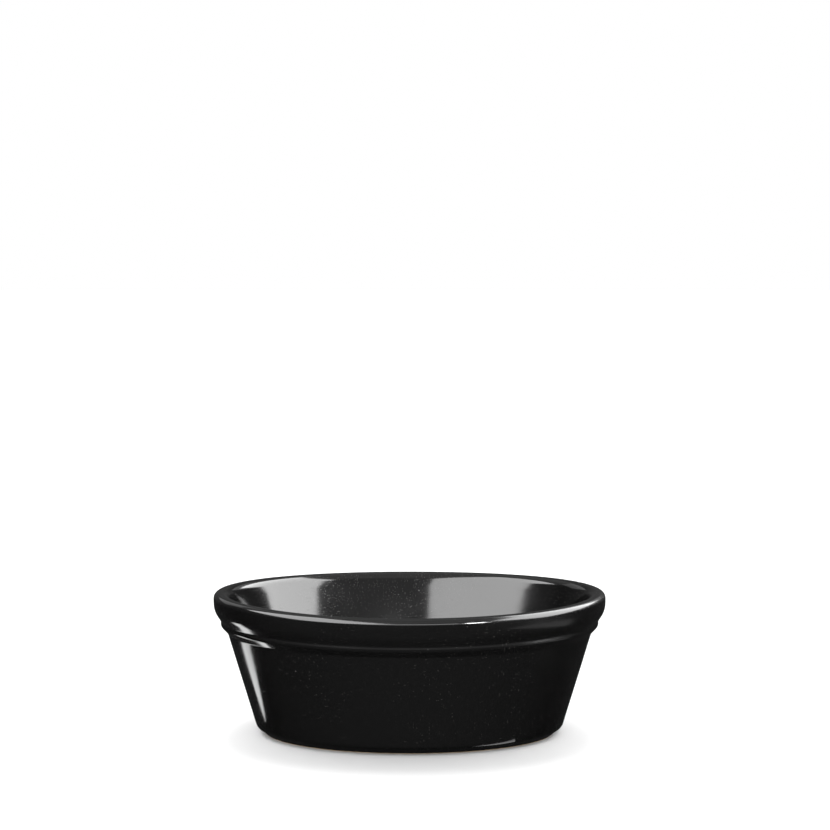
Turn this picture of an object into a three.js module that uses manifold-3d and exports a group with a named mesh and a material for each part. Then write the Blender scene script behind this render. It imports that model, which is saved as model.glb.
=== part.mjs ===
// Oval pie dish: a tapered stoneware bowl with a heavy rounded rim band and a thin bead under it.
// Black glaze covers the outside and the inside in one coat, and the hollow under the base in another.
// The narrow foot between the two coats is wiped bare, so that the dish doesn't stick in the kiln.
// Millimetres, +Z up, X along the oval. The origin is at the middle of the foot's standing face.
import * as THREE from "three";
import { mergeVertices } from "three/addons/utils/BufferGeometryUtils.js";
import Module from "manifold-3d";

const wasm = await Module();
wasm.setup();

// The oval over the rim and the height to the rim's crest at the sides, all over the glaze.
const LENGTH = 152;
const WIDTH = 113;
const HEIGHT = 54;

// How much higher the rim stands at the two ends of the oval than at its two sides.
const RIM_RISE = 1.2;

// The rim: how thick it is across the top, and how it is rounded to the outside and to the inside.
const RIM_THICKNESS = 5.8;
const RIM_OUTER_RADIUS = 2.1;
const RIM_INNER_RADIUS = 3.2;

// The band below the rim: its depth down to the groove, the depth where its face turns in, and that turn.
const BAND_DEPTH = 10.4;
const BAND_FACE_DEPTH = 6.3;
const BAND_RADIUS = 9;

// The groove between band and bead, set in from the rim's outline, and how far the bead stands out of it.
const GROOVE_INSET = 2.85;
const GROOVE_DEPTH = 0.25;
const GROOVE_RADIUS = 0.8;

// The bead: from the groove down to its nose, down to the wall, out from the wall, and its roundings.
const BEAD_NOSE_DROP = 1.6;
const BEAD_HEIGHT = 4.4;
const BEAD_PROJECTION = 2.75;
const BEAD_RADIUS = 1.5;
const BEAD_FILLET = 1;

// The foot: set in from the rim's outline, its upright edge, and the flare from that edge out to the wall.
const FOOT_INSET = 19.6;
const FOOT_EDGE_HEIGHT = 0.7;
const FOOT_EDGE_RADIUS = 0.4;
const FLARE_REACH = 3.25;
const FLARE_RISE = 2.2;
const FLARE_RADIUS = 3;

// The foot ring's width, and the shallow hollow inside it.
const FOOT_WIDTH = 4.8;
const RECESS_DEPTH = 1.6;
const RECESS_RADIUS = 0.8;

// The floor, the wall across at the floor's level, and the rounding where they meet inside.
const FLOOR_THICKNESS = 4.6;
const WALL_THICKNESS = 4.3;
const FLOOR_RADIUS = 7;

// The fired glaze, and the height of bare foot that it leaves at the bottom.
const GLAZE_THICKNESS = 0.4;
const DRY_FOOT = 0.4;

// How finely the oval and its roundings are divided, and how near the axis a point counts as on it.
const SEGMENTS = 56;
const CHORD_ANGLE = THREE.MathUtils.degToRad(27);
const AXIS_REACH = 1e-6;

// The heights and insets that follow from those sizes.
const floorHeight = RECESS_DEPTH + FLOOR_THICKNESS;
const grooveHeight = HEIGHT - BAND_DEPTH;
const wallTop = [GROOVE_INSET - GROOVE_DEPTH + BEAD_PROJECTION, grooveHeight - BEAD_HEIGHT];
const wallFoot = [FOOT_INSET - FLARE_REACH, FOOT_EDGE_HEIGHT + FLARE_RISE];
const wallAtFloor = THREE.MathUtils.mapLinear(
  floorHeight,
  wallFoot[1],
  wallTop[1],
  wallFoot[0],
  wallTop[0],
);

// A point of the section from its inset behind the rim's outline and its height.
function sectionPoint(inset, height) {
  return new THREE.Vector2(LENGTH / 2 - inset, height);
}

// The section's corners, each [inset, height, radius], become a line whose corners are rounded.
// A rounding takes at most half of each side that it joins.
function roundedLine(corners) {
  const sharp = corners.map(([inset, height]) => sectionPoint(inset, height));
  return corners.flatMap(([, , radius], k) => {
    if (!radius) {
      return [sharp[k]];
    }
    const back = sharp[k - 1].clone().sub(sharp[k]);
    const ahead = sharp[k + 1].clone().sub(sharp[k]);
    const longest = 0.5 * Math.min(back.length(), ahead.length());
    back.normalize();
    ahead.normalize();
    const half = Math.acos(back.dot(ahead)) / 2;
    const reach = Math.min(radius / Math.tan(half), longest);
    const middle = back.clone().add(ahead).normalize();
    const centre = sharp[k].clone().addScaledVector(middle, reach / Math.cos(half));
    const start = sharp[k].clone().addScaledVector(back, reach);
    const turn = -Math.sign(back.cross(ahead)) * (Math.PI - 2 * half);
    const chords = Math.ceil(Math.abs(turn) / CHORD_ANGLE);
    return Array.from({ length: chords + 1 }, (unused, i) =>
      start.clone().rotateAround(centre, (turn * i) / chords),
    );
  });
}

// A line a set depth to the left of another, which is the clay's side of each glazed surface here.
function lineBelow(line, depth) {
  return line.map((point, k) => {
    const sides = [];
    if (k > 0) {
      sides.push(point.clone().sub(line[k - 1]));
    }
    if (k < line.length - 1) {
      sides.push(line[k + 1].clone().sub(point));
    }
    const normals = sides.map((side) => new THREE.Vector2(-side.y, side.x).normalize());
    const first = normals[0];
    const last = normals[normals.length - 1];
    const step = first.clone().add(last).divideScalar(1 + first.dot(last));
    return point.clone().addScaledVector(step, depth);
  });
}

// A solid turned from a section that starts and ends on the axis, then drawn in along Y to the oval.
// Every ring keeps the same inset from the rim's outline all the way round, and the axis stays where it is.
// Above the floor the rings rise towards the two ends, most of all at the rim.
function ovalSolid(section) {
  const geometry = new THREE.LatheGeometry(section, SEGMENTS);
  geometry.rotateX(Math.PI / 2);
  const position = geometry.getAttribute("position");
  for (let i = 0; i < position.count; i++) {
    const x = position.getX(i);
    const y = position.getY(i);
    const z = position.getZ(i);
    const share = Math.max(0, z - floorHeight) / (HEIGHT - floorHeight);
    position.setZ(i, z + RIM_RISE * ((share * x) / (LENGTH / 2)) ** 2);
    const radius = Math.hypot(x, y);
    if (radius > AXIS_REACH) {
      position.setY(i, (y * (radius - LENGTH / 2 + WIDTH / 2)) / radius);
    }
  }
  geometry.deleteAttribute("normal");
  geometry.deleteAttribute("uv");
  const merged = mergeVertices(geometry);
  const corners = merged.index.array;
  const triangles = [];
  for (let i = 0; i < corners.length; i += 3) {
    const [a, b, c] = corners.subarray(i, i + 3);
    if (a !== b && b !== c && c !== a) {
      triangles.push(a, b, c);
    }
  }
  return new wasm.Manifold(
    new wasm.Mesh({
      numProp: 3,
      vertProperties: merged.getAttribute("position").array,
      triVerts: new Uint32Array(triangles),
    }),
  );
}

// A named mesh of a solid, in its own material.
function namedMesh(name, solid, material) {
  const { vertProperties, triVerts } = solid.getMesh();
  const geometry = new THREE.BufferGeometry();
  geometry.setAttribute("position", new THREE.BufferAttribute(vertProperties, 3));
  geometry.setIndex(new THREE.BufferAttribute(triVerts, 1));
  geometry.computeVertexNormals();
  const mesh = new THREE.Mesh(geometry, material);
  mesh.name = name;
  return mesh;
}

// The glazed surface from the foot's outer edge up the wall, over bead, band and rim, and down to the floor.
const outerGlaze = roundedLine([
  [FOOT_INSET, DRY_FOOT],
  [FOOT_INSET, FOOT_EDGE_HEIGHT, FOOT_EDGE_RADIUS],
  [...wallFoot, FLARE_RADIUS],
  [...wallTop, BEAD_FILLET],
  [GROOVE_INSET - GROOVE_DEPTH, grooveHeight - BEAD_NOSE_DROP, BEAD_RADIUS],
  [GROOVE_INSET, grooveHeight, GROOVE_RADIUS],
  [0, HEIGHT - BAND_FACE_DEPTH, BAND_RADIUS],
  [0, HEIGHT, RIM_OUTER_RADIUS],
  [RIM_THICKNESS, HEIGHT, RIM_INNER_RADIUS],
  [wallAtFloor + WALL_THICKNESS, floorHeight, FLOOR_RADIUS],
  [LENGTH / 2, floorHeight],
]);

// The glazed surface of the hollow under the base, from its middle out and down to the foot's inner edge.
const footInner = FOOT_INSET + FOOT_WIDTH;
const baseGlaze = roundedLine([
  [LENGTH / 2, RECESS_DEPTH],
  [footInner, RECESS_DEPTH, RECESS_RADIUS],
  [footInner, DRY_FOOT],
]);

// The clay lies one glaze thickness under both surfaces and comes down bare to the standing face.
const outerClay = lineBelow(outerGlaze, GLAZE_THICKNESS);
const baseClay = lineBelow(baseGlaze, GLAZE_THICKNESS);
const clay = ovalSolid([
  ...baseClay.slice(0, -1),
  sectionPoint(footInner - GLAZE_THICKNESS, 0),
  sectionPoint(FOOT_INSET + GLAZE_THICKNESS, 0),
  ...outerClay.slice(1),
]);

// Each coat is what lies between its glazed surface and the clay, closed through the middle of the clay.
const footMiddle = FOOT_INSET + FOOT_WIDTH / 2;
const floorMiddle = RECESS_DEPTH + FLOOR_THICKNESS / 2;
const core = [
  sectionPoint(footMiddle, DRY_FOOT),
  sectionPoint(footMiddle, floorMiddle),
  sectionPoint(LENGTH / 2, floorMiddle),
];
const coat = ovalSolid([...core.toReversed(), ...outerGlaze]).subtract(clay);
const baseCoat = ovalSolid([...baseGlaze, ...core]).subtract(clay);

const stoneware = new THREE.MeshStandardMaterial({ color: 0xb9a48a, roughness: 0.85, metalness: 0 });
const blackGlaze = new THREE.MeshStandardMaterial({ color: 0x121212, roughness: 0.12, metalness: 0 });

const dish = new THREE.Group();
dish.add(
  namedMesh("stoneware_body", clay, stoneware),
  namedMesh("glaze_coat", coat, blackGlaze),
  namedMesh("base_glaze", baseCoat, blackGlaze),
);

export default dish;
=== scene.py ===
# %% [markdown]
# # An oval pie dish in black-glazed stoneware
# The dish is one piece of fired clay under a skin of glass. The clay shows only on the narrow foot that it
# was fired on, and everything else is black glaze. So three pieces are modelled: the clay, the coat that runs
# from the foot's outer edge up the wall, over the rim and down to the floor, and the coat under the base.
# All sizes are in millimetres here and are turned to Blender's metres where a mesh is made.

import math

import bmesh
import bpy
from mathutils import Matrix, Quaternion, Vector


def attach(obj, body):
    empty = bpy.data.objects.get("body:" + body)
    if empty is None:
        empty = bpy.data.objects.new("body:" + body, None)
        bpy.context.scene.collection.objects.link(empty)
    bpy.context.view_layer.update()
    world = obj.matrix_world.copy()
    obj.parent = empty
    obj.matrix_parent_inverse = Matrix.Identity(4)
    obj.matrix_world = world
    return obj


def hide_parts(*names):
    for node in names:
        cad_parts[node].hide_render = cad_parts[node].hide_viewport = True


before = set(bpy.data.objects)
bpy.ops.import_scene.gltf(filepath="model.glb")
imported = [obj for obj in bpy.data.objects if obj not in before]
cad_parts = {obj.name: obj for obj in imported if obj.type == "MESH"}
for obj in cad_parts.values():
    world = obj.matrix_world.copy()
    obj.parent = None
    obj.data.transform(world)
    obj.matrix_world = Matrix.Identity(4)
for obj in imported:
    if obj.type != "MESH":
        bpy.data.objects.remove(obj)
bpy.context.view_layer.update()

# %% [markdown]
# ## Camera
# The photograph looks at the dish's long side from a little above the rim, and the dish stands low in a
# square frame. A camera aimed at the dish and then tilted up puts it there without shifting the lens.

# %% Camera
MM = 0.001
CAMERA_DISTANCE = 750
CAMERA_ELEVATION = math.radians(11.765)
CAMERA_TILT_UP = math.radians(7.383)
CAMERA_TURN = math.radians(-0.163)
AIM_HEIGHT = 27
SENSOR_WIDTH = 36
LENS = 82.775

camera = bpy.data.objects.new("camera", bpy.data.cameras.new("camera"))
bpy.context.scene.collection.objects.link(camera)
camera.data.sensor_width = SENSOR_WIDTH
camera.data.lens = LENS
camera.location = (
    0,
    -CAMERA_DISTANCE * math.cos(CAMERA_ELEVATION) * MM,
    (AIM_HEIGHT + CAMERA_DISTANCE * math.sin(CAMERA_ELEVATION)) * MM,
)
camera.rotation_euler = (math.pi / 2 - CAMERA_ELEVATION + CAMERA_TILT_UP, 0, CAMERA_TURN)
bpy.context.scene.camera = camera
print("camera at", [round(v, 3) for v in camera.location])

# %% [markdown]
# ## The section
# A dish like this is pressed in a mould, so one section goes all the way round the oval. Each corner of the
# section is an inset from the rim's outline, a height and a rounding. Walking along the corners and turning
# each one into a short arc gives the rings that the surface is drawn through. It could also be built sharp
# and bevelled ring by ring, but arcs worked out first keep every rounding at its true radius.

# %% Sizes of the section
HALF_LENGTH = 76
HALF_WIDTH = 56.5
HEIGHT = 54
RIM_RISE = 1.2
GLAZE_THICKNESS = 0.4
DRY_FOOT = 0.4
FOOT_INSET = 19.6
FOOT_INNER_INSET = 24.4
FOOT_EASING = 0.2
RECESS_DEPTH = 1.6
FLOOR_HEIGHT = 6.2
CAP_EDGE_INSET = 30

OUTER_CORNERS = [
    (FOOT_INSET, DRY_FOOT, 0),  # where the glaze ends at the foot
    (FOOT_INSET, 0.7, 0.4),  # top of the foot's upright edge
    (16.35, 2.9, 3),  # bottom of the wall
    (5.35, 39.2, 1),  # top of the wall, under the bead
    (2.6, 42, 1.5),  # nose of the bead
    (2.85, 43.6, 0.8),  # groove
    (0, 47.7, 9),  # where the band turns in
    (0, HEIGHT, 2.1),  # outside of the rim
    (5.8, HEIGHT, 3.2),  # inside of the rim
    (19.65, FLOOR_HEIGHT, 7),  # where wall and floor meet inside
    (CAP_EDGE_INSET, FLOOR_HEIGHT, 0),
]
BASE_CORNERS = [
    (CAP_EDGE_INSET, RECESS_DEPTH, 0),
    (FOOT_INNER_INSET, RECESS_DEPTH, 0.8),
    (FOOT_INNER_INSET, DRY_FOOT, 0),
]
FOOT_CORNERS = [
    (FOOT_INNER_INSET - GLAZE_THICKNESS, DRY_FOOT, 0),
    (FOOT_INNER_INSET - GLAZE_THICKNESS, 0, FOOT_EASING),
    (FOOT_INSET + GLAZE_THICKNESS, 0, FOOT_EASING),
    (FOOT_INSET + GLAZE_THICKNESS, DRY_FOOT, 0),
]
print("corners in coat, base coat and foot:", len(OUTER_CORNERS), len(BASE_CORNERS), len(FOOT_CORNERS))

# %% Round the corners and lay rings along the line
ARC_STEP = math.radians(7)
LONGEST_STEP = 3
SAME_PLACE = 1e-6


def rounded_line(corners):
    """The corners' line with each corner turned to an arc and no step longer than LONGEST_STEP."""
    line = []
    for k, (inset, height, radius) in enumerate(corners):
        corner = Vector((inset, height))
        arc = [corner]
        if radius:
            back = Vector(corners[k - 1][:2]) - corner
            ahead = Vector(corners[k + 1][:2]) - corner
            half = back.angle(ahead) / 2
            reach = min(radius / math.tan(half), back.length / 2, ahead.length / 2)
            start, end = corner + back.normalized() * reach, corner + ahead.normalized() * reach
            centre = corner + (back.normalized() + ahead.normalized()).normalized() * reach / math.cos(half)
            count = max(2, math.ceil((math.pi - 2 * half) / ARC_STEP))
            spoke, last_spoke = start - centre, end - centre
            arc = [centre + spoke.slerp(last_spoke, i / count) * spoke.length for i in range(count + 1)]
        if line:
            gap = arc[0] - line[-1]
            steps = max(1, math.ceil(gap.length / LONGEST_STEP))
            line += [line[-1] + gap * i / steps for i in range(1, steps)]
        line += arc
    return [point for k, point in enumerate(line) if k == 0 or (point - line[k - 1]).length > SAME_PLACE]


def line_below(line, depth):
    """The line moved sideways by depth, to the clay's side of a glazed surface."""
    moved = []
    for k, point in enumerate(line):
        sides = [b - a for a, b in zip(line[max(k - 1, 0) : k + 1], line[max(k, 1) : k + 2])]
        normals = [Vector((side.y, -side.x)).normalized() for side in sides]
        first, last = normals[0], normals[-1]
        moved.append(point + (first + last) / (1 + first.dot(last)) * depth)
    return moved


coat_line = rounded_line(OUTER_CORNERS)
base_line = rounded_line(BASE_CORNERS)
foot_line = rounded_line(FOOT_CORNERS)
clay_under_base = line_below(base_line, GLAZE_THICKNESS)[:-1]
clay_under_coat = line_below(coat_line, GLAZE_THICKNESS)[1:]
clay_line = clay_under_base + foot_line + clay_under_coat
print("rings in coat, base coat and clay:", len(coat_line), len(base_line), len(clay_line))

# %% [markdown]
# ## Drawing a section round the oval
# Spinning the section would give a round dish. Here one ellipse is extruded from ring to ring instead. Each
# new ring is lifted by its change of height and scaled by its change of inset, with one factor along the oval
# and another across it, so the wall is equally thick at the ends and at the sides. A ring that must end in a
# surface is closed with a face, which is inset once to keep the flat truly flat and then poked into a fan.
# Drying and firing draw the sides of an oval down a little, so its ends stand about a millimetre higher. A
# Displace modifier with a weight on each point lifts them, and leaves the floor and the foot as they are.

# %% From a line of rings to a mesh
AROUND = 192
CAP_MARGIN = 3
SHARP_ANGLE = math.radians(40)


def close_ring():
    """A flat cap in the selected ring."""
    bpy.ops.mesh.edge_face_add()
    bpy.ops.mesh.inset(thickness=CAP_MARGIN * MM)
    bpy.ops.mesh.poke()


def oval_piece(name, line, cap_first, cap_last):
    """A mesh drawn through the line's rings, left in edit mode with everything selected."""
    bpy.ops.object.select_all(action="DESELECT")
    bpy.ops.mesh.primitive_circle_add(vertices=AROUND, radius=(HALF_LENGTH - line[0].x) * MM)
    piece = bpy.context.object
    piece.name = piece.data.name = name
    bpy.ops.object.mode_set(mode="EDIT")
    squash = (HALF_WIDTH - line[0].x) / (HALF_LENGTH - line[0].x)
    bpy.ops.transform.resize(value=(1, squash, 1), center_override=(0, 0, 0))
    bpy.ops.transform.translate(value=(0, 0, line[0].y * MM))
    if cap_first:
        close_ring()
        bpy.ops.mesh.select_all(action="DESELECT")
        bpy.ops.mesh.select_non_manifold()
    for old, new in zip(line, line[1:]):
        bpy.ops.mesh.extrude_region_move(TRANSFORM_OT_translate={"value": (0, 0, (new.y - old.y) * MM)})
        along = (HALF_LENGTH - new.x) / (HALF_LENGTH - old.x)
        across = (HALF_WIDTH - new.x) / (HALF_WIDTH - old.x)
        bpy.ops.transform.resize(value=(along, across, 1), center_override=(0, 0, 0))
    if cap_last:
        close_ring()
    bpy.ops.mesh.select_all(action="SELECT")
    return piece


def lift_ends(piece):
    """Raises the two ends of the oval, from nothing at the floor's level to RIM_RISE at the rim."""
    bpy.ops.object.mode_set(mode="OBJECT")
    group = piece.vertex_groups.new(name="rise")
    for vertex in piece.data.vertices:
        share = max(0, vertex.co.z / MM - FLOOR_HEIGHT) / (HEIGHT - FLOOR_HEIGHT)
        group.add([vertex.index], (share * vertex.co.x / MM / HALF_LENGTH) ** 2, "REPLACE")
    lift = piece.modifiers.new("rise", "DISPLACE")
    lift.direction = "Z"
    lift.mid_level = 0
    lift.strength = RIM_RISE * MM
    lift.vertex_group = group.name
    bpy.ops.object.modifier_apply(modifier=lift.name)
    piece.vertex_groups.clear()


def measure(piece):
    """Prints a piece's size, its volume (positive where its faces look outwards) and its open edges."""
    mesh = bmesh.new()
    mesh.from_mesh(piece.data)
    heights = [v.co.z / MM for v in mesh.verts]
    print(
        piece.name,
        "mm:", [round(v / MM, 2) for v in piece.dimensions],
        "heights:", round(min(heights), 2), round(max(heights), 2),
        "volume ml:", round(mesh.calc_volume(signed=True) * 1e6, 2),
        "open edges:", sum(not e.is_manifold for e in mesh.edges),
        "faces:", len(mesh.faces),
    )
    mesh.free()


# %% [markdown]
# ## The clay
# The body is pressed from a slab of stoneware clay into a plaster mould and trimmed at the rim. It is a
# closed solid that lies one glaze thickness under the finished surface everywhere but on the foot. The two
# edges of the standing face are eased a little, as a wet sponge leaves them.

# %% The stoneware body
stoneware_body = oval_piece("clay_body", clay_line, cap_first=True, cap_last=True)
bpy.ops.mesh.normals_make_consistent(inside=False)
lift_ends(stoneware_body)
bpy.ops.object.shade_smooth_by_angle(angle=SHARP_ANGLE)
measure(stoneware_body)

# %% [markdown]
# ## The two coats of glaze
# Glaze goes on as a dip and melts to a skin of nearly even thickness. Only its outer surface is drawn, and
# Solidify then gives it its thickness towards the clay. Even thickness keeps the skin true in the tight
# grooves round the bead. The face directions matter here, because they decide which side is towards the clay.


# %% Give a drawn surface the glaze's thickness
def thicken(piece):
    """A closed skin, thickened on the side that its faces look away from."""
    lift_ends(piece)
    skin = piece.modifiers.new("glaze thickness", "SOLIDIFY")
    skin.thickness = GLAZE_THICKNESS * MM
    skin.offset = -1
    skin.use_even_offset = True
    bpy.ops.object.modifier_apply(modifier=skin.name)
    bpy.ops.object.shade_smooth_by_angle(angle=SHARP_ANGLE)
    measure(piece)


# %% The coat over wall, rim and inside
glaze_coat = oval_piece("glaze_over_wall_and_bowl", coat_line, cap_first=False, cap_last=True)
bpy.ops.mesh.normals_make_consistent(inside=False)
thicken(glaze_coat)

# %% The coat in the hollow under the base
base_glaze = oval_piece("glaze_under_base", base_line, cap_first=True, cap_last=False)
bpy.ops.mesh.normals_make_consistent(inside=True)
thicken(base_glaze)

# %% [markdown]
# ## Materials
# A finish is built from a few nodes at the sizes that its marks have on the real dish. Texture scales are one
# over the wanted size in metres, because Object coordinates are in metres.


# %% Helpers for colours and nodes
def linear(hex_colour):
    """The linear colour of sRGB hex digits."""
    shares = [int(hex_colour[i : i + 2], 16) / 255 for i in (0, 2, 4)]
    return [s / 12.92 if s <= 0.04045 else ((s + 0.055) / 1.055) ** 2.4 for s in shares] + [1]


def add_node(tree, kind, inputs, **settings):
    """A node with its settings, whose inputs are values or (node, output) pairs to link from."""
    node = tree.nodes.new(kind)
    for name, value in settings.items():
        setattr(node, name, value)
    for socket, value in inputs.items():
        if isinstance(value, tuple) and isinstance(value[0], bpy.types.Node):
            tree.links.new(value[0].outputs[value[1]], node.inputs[socket])
        else:
            node.inputs[socket].default_value = value
    return node


def new_material(name):
    """An empty node material."""
    material = bpy.data.materials.new(name)
    material.use_nodes = True
    material.node_tree.nodes.clear()
    return material, material.node_tree


# %% [markdown]
# ### Black gloss glaze
# Iron and manganese turn a stoneware glaze black, and in the kiln it melts to glass. The eye gets four things
# from it: a clear reflection over near black, edges in it that are softer here and there, a very slight
# waviness where the melt never went quite level, and fine grey flecks in patches. Their grey is a painted
# glint, for light caught in small pits of the glaze. Each fleck also leans its own way, so now and then one
# catches a lamp and glints for real. A Voronoi texture gives every fleck a random colour, which serves as the
# dice for both. The painted glints are denser inside the bowl, where the surface faces the middle and mirrors
# the softboxes, and the front right of the rim came out of the kiln a little duller than the rest. Voronoi
# distances count in cells, so the flecks' radius is turned to cells too.

# %% Black gloss glaze
WAVE_SIZE = 9 * MM
WAVE_HEIGHT = 0.012 * MM
FLECK_SPACING = 0.65 * MM
FLECK_RADIUS = 0.125 * MM / FLECK_SPACING
# Painted glints: the share of cells that get a grey fleck is high inside the bowl, which mirrors the
# softboxes, and low outside.
GLINT_SHARE_INSIDE, GLINT_SHARE_OUTSIDE = 0.9, 0.16
GLINT_SHARE_REACH = 30 * MM
FLECK_TILT = 0.5
PATCH_SIZE = 22 * MM
SMEAR_SIZE = 14 * MM
GLOSSIEST, LEAST_GLOSSY = 0.08, 0.15
DULL_WAY = (0.8, -0.6, 0)
DULL_FROM, DULL_FULLY = 50 * MM, 65 * MM
DULLNESS = 0.12

black_glaze, tree = new_material("black gloss glaze, dipped and fired")
place = add_node(tree, "ShaderNodeTexCoord", {})
wave = add_node(
    tree,
    "ShaderNodeTexNoise",
    {"Vector": (place, "Object"), "Scale": 1 / WAVE_SIZE, "Detail": 1.5, "Roughness": 0.4},
)
level = add_node(tree, "ShaderNodeBump", {"Height": (wave, "Fac"), "Distance": WAVE_HEIGHT, "Strength": 1})
cells = add_node(tree, "ShaderNodeTexVoronoi", {"Vector": (place, "Object"), "Scale": 1 / FLECK_SPACING})
dots = add_node(
    tree,
    "ShaderNodeMapRange",
    {"Value": (cells, "Distance"), "From Min": FLECK_RADIUS, "From Max": FLECK_RADIUS / 2},
)
patches = add_node(
    tree, "ShaderNodeTexNoise", {"Vector": (place, "Object"), "Scale": 1 / PATCH_SIZE, "Detail": 3}
)
thick_with = add_node(
    tree, "ShaderNodeMapRange", {"Value": (patches, "Fac"), "From Min": 0.38, "From Max": 0.62}
)
chance = add_node(tree, "ShaderNodeSeparateColor", {"Color": (cells, "Color")})
surface = add_node(tree, "ShaderNodeNewGeometry", {})
from_axis = add_node(tree, "ShaderNodeVectorMath", {0: (place, "Object"), 1: [1, 1, 0]}, operation="MULTIPLY")
outwards = add_node(
    tree, "ShaderNodeVectorMath", {0: (surface, "Normal"), 1: (from_axis, "Vector")}, operation="DOT_PRODUCT"
)
# The painted glints' share, from the inside of the bowl to the outside.
share = add_node(
    tree,
    "ShaderNodeMapRange",
    {
        "Value": (outwards, "Value"),
        "From Min": -GLINT_SHARE_REACH,
        "From Max": GLINT_SHARE_REACH,
        "To Min": GLINT_SHARE_INSIDE,
        "To Max": GLINT_SHARE_OUTSIDE,
    },
)
picked = add_node(tree, "ShaderNodeMath", {0: (chance, "Red"), 1: (share, "Result")}, operation="LESS_THAN")
scattered = add_node(
    tree, "ShaderNodeMath", {0: (dots, "Result"), 1: (picked, "Value")}, operation="MULTIPLY"
)
glint_flecks = add_node(
    tree, "ShaderNodeMath", {0: (scattered, "Value"), 1: (thick_with, "Result")}, operation="MULTIPLY"
)
# The flecks' grey is a painted glint over the black.
colour = add_node(
    tree,
    "ShaderNodeMix",
    {"Factor": (glint_flecks, "Value"), "A": linear("070707"), "B": linear("6a6864")},
    data_type="RGBA",
)
smear = add_node(
    tree, "ShaderNodeTexNoise", {"Vector": (place, "Object"), "Scale": 1 / SMEAR_SIZE, "Detail": 2}
)
polish = add_node(
    tree,
    "ShaderNodeMapRange",
    {"Value": (smear, "Fac"), "From Min": 0.3, "From Max": 0.7, "To Min": GLOSSIEST, "To Max": LEAST_GLOSSY},
)
along = add_node(tree, "ShaderNodeVectorMath", {0: (place, "Object"), 1: DULL_WAY}, operation="DOT_PRODUCT")
dull = add_node(
    tree,
    "ShaderNodeMapRange",
    {"Value": (along, "Value"), "From Min": DULL_FROM, "From Max": DULL_FULLY, "To Max": DULLNESS},
)
gloss = add_node(tree, "ShaderNodeMath", {0: (polish, "Result"), 1: (dull, "Result")}, operation="ADD")
any_way = add_node(
    tree,
    "ShaderNodeVectorMath",
    {0: (cells, "Color"), 1: [2 * FLECK_TILT] * 3, 2: [-FLECK_TILT] * 3},
    operation="MULTIPLY_ADD",
)
lean = add_node(
    tree, "ShaderNodeVectorMath", {0: (any_way, "Vector"), "Scale": (glint_flecks, "Value")}, operation="SCALE"
)
leaning = add_node(tree, "ShaderNodeVectorMath", {0: (level, "Normal"), 1: (lean, "Vector")}, operation="ADD")
facing = add_node(tree, "ShaderNodeVectorMath", {0: (leaning, "Vector")}, operation="NORMALIZE")
glass = add_node(
    tree,
    "ShaderNodeBsdfPrincipled",
    {
        "Base Color": (colour, "Result"),
        "Roughness": (gloss, "Value"),
        "IOR": 1.5,
        "Normal": (facing, "Vector"),
    },
)
add_node(tree, "ShaderNodeOutputMaterial", {"Surface": (glass, "BSDF")})
print("black glaze nodes:", len(tree.nodes))

# %% [markdown]
# ### Bare fired stoneware
# Where the glaze was wiped off, the clay fires to a warm buff. It is matt and a little gritty, with darker
# iron specks. Grit finer than half a millimetre is given as bump, because it is far finer than the foot.

# %% Bare fired stoneware
GRIT_SIZE = 0.5 * MM
GRIT_HEIGHT = 0.05 * MM
SPECK_SPACING = 1.6 * MM
SPECK_RADIUS = 0.256 * MM / SPECK_SPACING
SPECK_DEPTH = 0.7
TONE_SIZE = 12 * MM

stoneware, tree = new_material("bare stoneware, fired and matt")
place = add_node(tree, "ShaderNodeTexCoord", {})
grit = add_node(
    tree, "ShaderNodeTexNoise", {"Vector": (place, "Object"), "Scale": 1 / GRIT_SIZE, "Detail": 3}
)
rough = add_node(tree, "ShaderNodeBump", {"Height": (grit, "Fac"), "Distance": GRIT_HEIGHT, "Strength": 1})
tone = add_node(
    tree, "ShaderNodeTexNoise", {"Vector": (place, "Object"), "Scale": 1 / TONE_SIZE, "Detail": 3}
)
buff = add_node(
    tree,
    "ShaderNodeMix",
    {"Factor": (tone, "Fac"), "A": linear("a8917a"), "B": linear("c8b498")},
    data_type="RGBA",
)
cells = add_node(tree, "ShaderNodeTexVoronoi", {"Vector": (place, "Object"), "Scale": 1 / SPECK_SPACING})
specks = add_node(
    tree,
    "ShaderNodeMapRange",
    {
        "Value": (cells, "Distance"),
        "From Min": SPECK_RADIUS,
        "From Max": SPECK_RADIUS / 2,
        "To Max": SPECK_DEPTH,
    },
)
colour = add_node(
    tree,
    "ShaderNodeMix",
    {"Factor": (specks, "Result"), "A": (buff, "Result"), "B": linear("5a4636")},
    data_type="RGBA",
)
clay = add_node(
    tree,
    "ShaderNodeBsdfPrincipled",
    {"Base Color": (colour, "Result"), "Roughness": 0.85, "Normal": (rough, "Normal")},
)
add_node(tree, "ShaderNodeOutputMaterial", {"Surface": (clay, "BSDF")})
print("stoneware nodes:", len(tree.nodes))

# %% [markdown]
# ## Dressing the pieces
# Each piece gets its finish, and the CAD part that it stands for is hidden. They all ride on the one body
# that the dish has, because nothing on it moves.

# %% Dress the pieces and hide the CAD parts they stand for
for piece, material, node, slot in [
    (stoneware_body, stoneware, "stoneware_body", "stoneware"),
    (glaze_coat, black_glaze, "glaze_coat", "black_glaze"),
    (base_glaze, black_glaze, "base_glaze", "black_glaze"),
]:
    piece.data.materials.clear()
    piece.data.materials.append(material)
    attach(piece, "root")
    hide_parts(node)
print("pieces:", [piece.name for piece in (stoneware_body, glaze_coat, base_glaze)])

# %% [markdown]
# ## Floor
# The photograph's ground is white, with a soft shadow in front of the foot. A wide matt board gives that. The
# glaze doesn't mirror the board, because the wall of the photographed dish mirrors something dark.

# %% Floor
FLOOR_SIZE = 30

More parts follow.
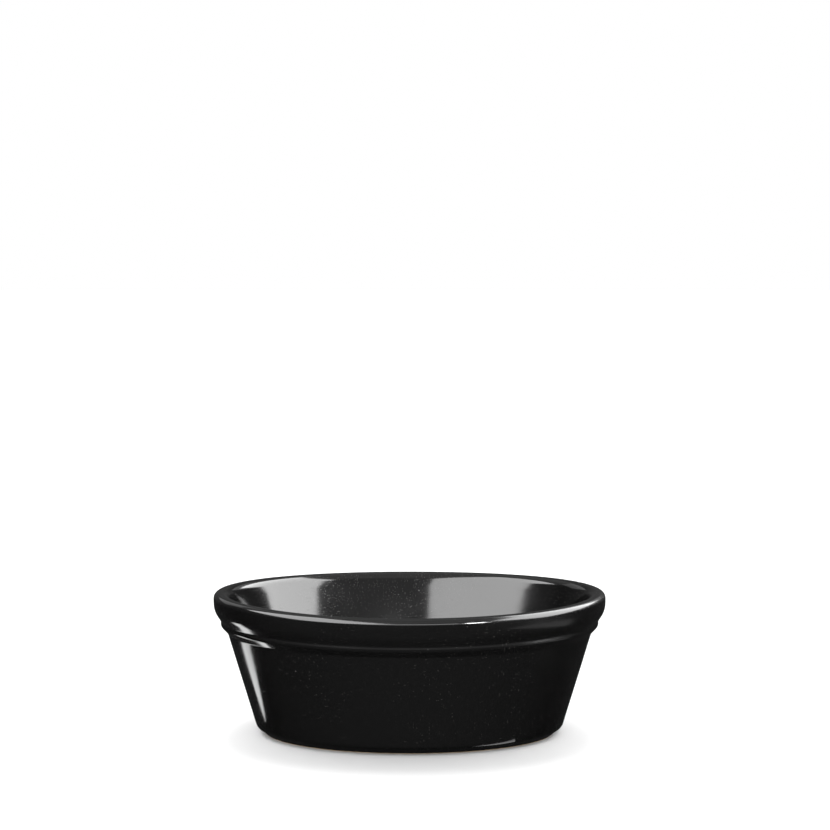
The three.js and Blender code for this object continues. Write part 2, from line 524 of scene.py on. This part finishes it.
bpy.ops.object.select_all(action="DESELECT")
bpy.ops.mesh.primitive_plane_add(size=FLOOR_SIZE)
floor = bpy.context.object
floor.name = floor.data.name = "studio floor"
floor.visible_glossy = False
white_board, tree = new_material("matt white studio board")
board = add_node(tree, "ShaderNodeBsdfDiffuse", {"Color": linear("f4f4f4")})
add_node(tree, "ShaderNodeOutputMaterial", {"Surface": (board, "BSDF")})
floor.data.materials.append(white_board)
print("floor of", FLOOR_SIZE, "m in", white_board.name)

# %% [markdown]
# ## Surroundings
# A world can answer each kind of ray differently. The camera gets plain white, the floor gets enough light to
# be white as well, and the glaze gets a dim room that is lighter in front and overhead than behind and below.

# %% World
SEEN_BY_CAMERA = 1
SEEN_BY_FLOOR = 1.25
ABOVE_IN_FRONT, ABOVE_BEHIND = 0.5, 0.1
BELOW_IN_FRONT, BELOW_BEHIND = 0.16, 0.03
OVERHEAD = 0.5

world = bpy.data.worlds.new("white studio")
bpy.context.scene.world = world
world.use_nodes = True
tree = world.node_tree
tree.nodes.clear()
ray = add_node(tree, "ShaderNodeLightPath", {})
place = add_node(tree, "ShaderNodeTexCoord", {})
way = add_node(tree, "ShaderNodeSeparateXYZ", {"Vector": (place, "Generated")})
above = add_node(
    tree,
    "ShaderNodeMapRange",
    {
        "Value": (way, "Y"),
        "From Min": -0.9,
        "From Max": 0.2,
        "To Min": ABOVE_IN_FRONT,
        "To Max": ABOVE_BEHIND,
    },
)
below = add_node(
    tree,
    "ShaderNodeMapRange",
    {
        "Value": (way, "Y"),
        "From Min": -0.7,
        "From Max": 0.2,
        "To Min": BELOW_IN_FRONT,
        "To Max": BELOW_BEHIND,
    },
)
rise = add_node(tree, "ShaderNodeMapRange", {"Value": (way, "Z"), "From Min": -0.1, "From Max": 0.1})
walls = add_node(
    tree,
    "ShaderNodeMix",
    {"Factor": (rise, "Result"), "A": (below, "Result"), "B": (above, "Result")},
    data_type="FLOAT",
)
ceiling = add_node(
    tree,
    "ShaderNodeMapRange",
    {"Value": (way, "Z"), "From Min": 0.45, "From Max": 0.8, "To Max": OVERHEAD},
)
room = add_node(tree, "ShaderNodeMath", {0: (walls, "Result"), 1: (ceiling, "Result")}, operation="ADD")
mirrored = add_node(
    tree,
    "ShaderNodeMix",
    {"Factor": (ray, "Is Glossy Ray"), "A": SEEN_BY_FLOOR, "B": (room, "Value")},
    data_type="FLOAT",
)
strength = add_node(
    tree,
    "ShaderNodeMix",
    {"Factor": (ray, "Is Camera Ray"), "A": (mirrored, "Result"), "B": SEEN_BY_CAMERA},
    data_type="FLOAT",
)
sky = add_node(tree, "ShaderNodeBackground", {"Color": linear("ffffff"), "Strength": (strength, "Result")})
add_node(tree, "ShaderNodeOutputWorld", {"Surface": (sky, "Background")})
print("world nodes:", len(tree.nodes))

# %% [markdown]
# ## Softboxes
# Black gloss shows lamps as pale patches, so each lamp is placed by following the view from a patch in the
# photograph to where it is mirrored. The two large softboxes give the patches inside the bowl and the lines
# along the rim. The small lamp gives the glint on the front of the rim, and cards give the fainter lights.
# Only mirror rays see them. The lamps overhead and at the two ends are the other way round: they light the
# floor alone, one for the shadow and two to shorten it.


# %% Softboxes
def turned_to(place, aim, roll):
    """The turn of a lamp at place that faces aim and is rolled in its own plane."""
    return (Vector(aim) - Vector(place)).to_track_quat("-Z", "Y") @ Quaternion((0, 0, 1), math.radians(roll))


def lamp(name, place, aim, width, height, radiance, roll=0, mirrored=True):
    """A lamp in millimetres at place, facing aim. Only the glaze sees it or, if not mirrored, the floor."""
    light = bpy.data.lights.new(name, "AREA")
    light.shape = "RECTANGLE"
    light.size, light.size_y = width * MM, height * MM
    light.energy = radiance * math.pi * light.size * light.size_y
    box = bpy.data.objects.new(name, light)
    bpy.context.scene.collection.objects.link(box)
    box.location = Vector(place) * MM
    box.rotation_euler = turned_to(place, aim, roll).to_euler()
    box.visible_camera = False
    box.visible_diffuse, box.visible_glossy = not mirrored, mirrored


def around(turn, rise, distance):
    """A place seen from the dish, turned from the camera's side to its right and risen above the floor."""
    a, e = math.radians(turn), math.radians(rise)
    return (
        distance * math.sin(a) * math.cos(e),
        -distance * math.cos(a) * math.cos(e),
        AIM_HEIGHT + distance * math.sin(e),
    )


DISH = (0, 0, AIM_HEIGHT)
lamp("right softbox", around(92, 39, 900), DISH, 1500, 760, 11, roll=22)
lamp("small lamp close by", (71, -136, 79), (25, -50, 54), 22, 12, 95)
lamp("card close in front", (0, -250, 109), (0, -56, 54), 190, 55, 3.5)
lamp("card behind, right", around(145, 30, 900), DISH, 560, 330, 0.5)
lamp("card behind, left", around(-140, 30, 900), DISH, 560, 330, 0.6)
lamp("floor card at the right", (190, -80, 0.5), (190, -80, 100), 120, 120, 0.6)
lamp("overhead softbox", around(180, 78, 1200), DISH, 500, 500, 9, mirrored=False)
for side, end in (("left", -1), ("right", 1)):
    lamp(f"fill at the {side} end", (115 * end, 5, 70), (105 * end, 0, 0), 50, 50, 3.2, mirrored=False)
bpy.context.scene.view_settings.view_transform = "Standard"
print("lamps:", [light.name for light in bpy.data.lights])

# %% [markdown]
# ## Glowing cards
# Lamps are rectangles or ellipses, so lights of other outlines are glowing meshes that only mirror rays see.
# The left softbox has its lowest corner cut off, as a photographer would with a black flag, because the bead
# would mirror it. The wall leans outwards, so it mirrors the floor close to the foot. The bright strip down
# the left of the wall is a wedge of lit floor there, and the thin light at the right of the foot is a sliver
# of it.

# %% Glowing cards
SOFTBOX_PLACE = Vector(around(-53, 38, 900))
SOFTBOX_TURN = turned_to(SOFTBOX_PLACE, DISH, roll=-37)
SOFTBOX_OUTLINE = [(-690, 360), (-690, -360), (320, -360), (690, -84), (690, 360)]
WEDGE_OUTLINE = [(-66, -11), (-132, 32), (-130, 5)]
SLIVER_OUTLINE = [(24, -36.5), (41, -29.3), (43.5, -31.7)]
LIT_HEIGHT = 0.5


def glowing_card(name, corners, radiance):
    """A flat card between corners in millimetres that only mirror rays see."""
    bpy.ops.object.select_all(action="DESELECT")
    bpy.ops.mesh.primitive_circle_add(vertices=len(corners), fill_type="NGON")
    card = bpy.context.object
    card.name = card.data.name = name
    for vertex, corner in zip(card.data.vertices, corners):
        vertex.co = corner * MM
    glow, tree = new_material(name)
    shine = add_node(tree, "ShaderNodeEmission", {"Strength": radiance})
    add_node(tree, "ShaderNodeOutputMaterial", {"Surface": (shine, "Emission")})
    card.data.materials.append(glow)
    card.visible_camera = card.visible_diffuse = card.visible_shadow = False
    print(name, "with", len(corners), "corners")


glowing_card("left_softbox", [SOFTBOX_PLACE + SOFTBOX_TURN @ Vector((*c, 0)) for c in SOFTBOX_OUTLINE], 8.4)
glowing_card("lit_wedge_of_floor", [Vector((*c, LIT_HEIGHT)) for c in WEDGE_OUTLINE], 5)
glowing_card("lit_sliver_of_floor", [Vector((*c, LIT_HEIGHT)) for c in SLIVER_OUTLINE], 2.2)
